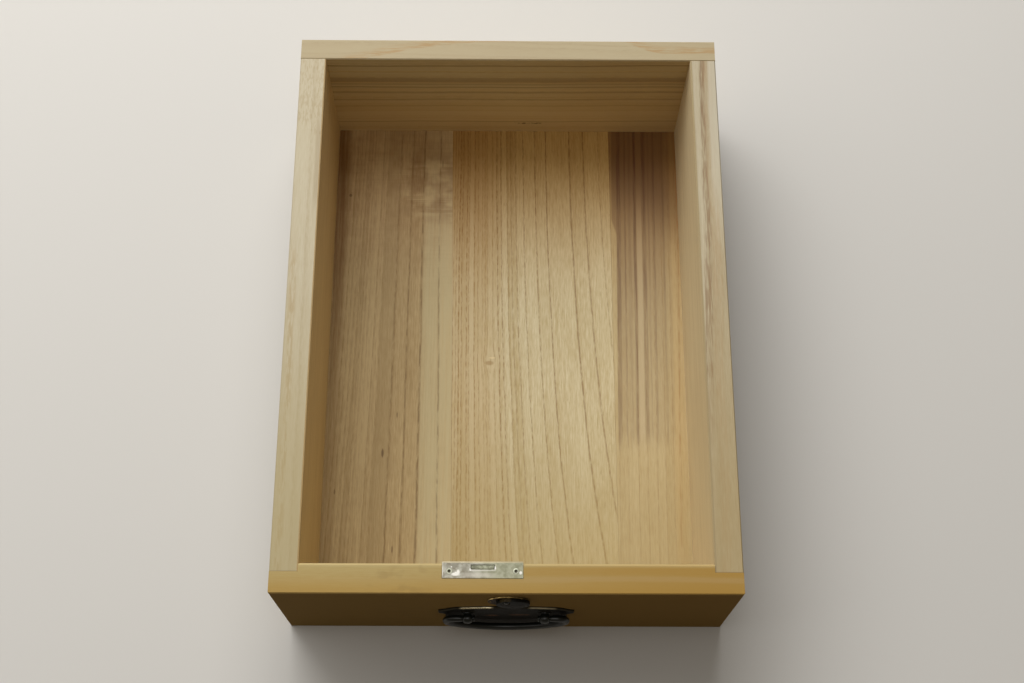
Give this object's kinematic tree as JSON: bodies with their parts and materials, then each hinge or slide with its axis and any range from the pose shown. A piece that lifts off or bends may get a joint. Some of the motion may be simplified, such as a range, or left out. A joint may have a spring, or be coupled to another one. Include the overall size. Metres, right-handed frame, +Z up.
{
  "type": "clothing chest drawer",
  "caption": "Open-topped kiri-wood drawer with lapped dovetails, pegged back corners, a let-in lock, a swinging keyhole cover and a hanging bail pull.",
  "frame": {"origin": "centre of the underside of the drawer", "axes": "+X to the right as seen from the front, +Y from the front to the back, +Z up"},
  "size_m": [0.33, 0.456, 0.1218],
  "materials": {
    "front_wood": "planed paulownia, warm straw yellow",
    "side_wood": "planed paulownia, pale cream with fine grey-brown grain",
    "bottom_wood": "planed paulownia, straight dark grain from front to back",
    "peg_wood": "shaved hardwood pegs",
    "lock_metal": "worn nickel-plated sheet",
    "brass_fittings": "aged brass with bright edges",
    "dark_fittings": "dark patinated metal with a soft sheen"
  },
  "bodies": {
    "drawer": {"front_board": "front_wood", "left_side_board": "side_wood", "right_side_board": "side_wood", "back_board": "side_wood", "bottom_board_left": "bottom_wood", "bottom_board_middle": "bottom_wood", "bottom_board_right": "bottom_wood", "bottom_pegs": "peg_wood", "back_corner_pegs": "peg_wood", "lock_plate": "lock_metal", "lock_cap": "lock_metal", "cap_rivets": "lock_metal", "bolt_guide_pin": "lock_metal", "bolt_spring": "brass_fittings", "key_pin": "lock_metal", "key_ward": "brass_fittings", "lock_top_screws": "lock_metal", "lock_back_screws": "lock_metal", "keyhole_escutcheon": "brass_fittings", "escutcheon_nails": "brass_fittings", "cover_rivet": "brass_fittings", "handle_plate": "dark_fittings", "handle_post_left": "dark_fittings", "handle_post_right": "dark_fittings", "post_washers": "dark_fittings"},
    "bail": {"bail_handle": "dark_fittings"},
    "cover": {"keyhole_cover": "dark_fittings"},
    "bolt": {"lock_bolt": "lock_metal"}
  },
  "joints": [
    {"name": "bail_swing", "type": "hinge", "parent": "drawer", "child": "bail", "pos_m": [0, -0.2292, 0.064], "axis": [-1, 0, 0], "range_deg": [-2.5, 165]},
    {"name": "cover_swing", "type": "hinge", "parent": "drawer", "child": "cover", "pos_m": [0, -0.2245, 0.11], "axis": [0, -1, 0], "range_deg": [-119, 61]},
    {"name": "bolt_slide", "type": "slide", "parent": "drawer", "child": "bolt", "axis": [0, 0, 1], "range_m": [0, 0.006]}
  ]
}
